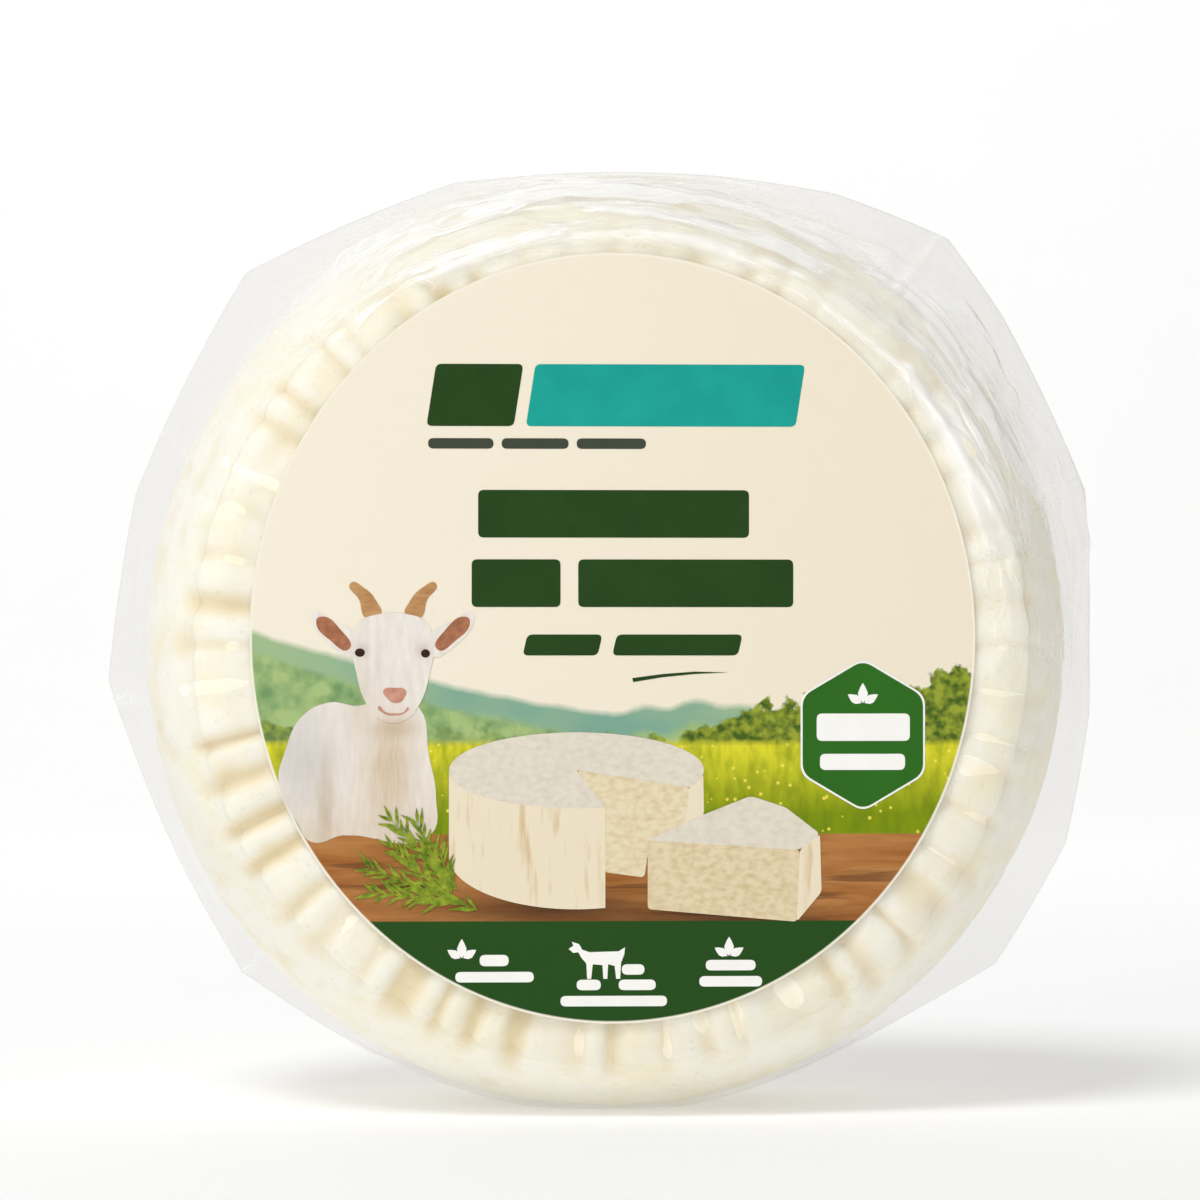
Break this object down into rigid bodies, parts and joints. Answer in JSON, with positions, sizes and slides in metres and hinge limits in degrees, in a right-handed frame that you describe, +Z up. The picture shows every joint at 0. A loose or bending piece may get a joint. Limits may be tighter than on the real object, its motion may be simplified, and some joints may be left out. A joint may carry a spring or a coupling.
{
  "type": "round goat cheese in clear film",
  "caption": "Round fresh white cheese with a ribbed rim, sealed in clear film, with an oval picture label on its front face, standing on its edge.",
  "frame": {"origin": "on the floor, under the middle of the pack", "axes": "+Z up, the label faces -Y, +X to the right as the label is looked at"},
  "size_m": [0.1276, 0.0476, 0.121],
  "materials": {
    "wrapped_cheese": "soft white cheese seen through clear, creased, glossy film",
    "label": "smooth coated paper, printed with a country scene"
  },
  "bodies": {
    "root": {"film_pack": "wrapped_cheese", "label": "label"}
  },
  "joints": []
}
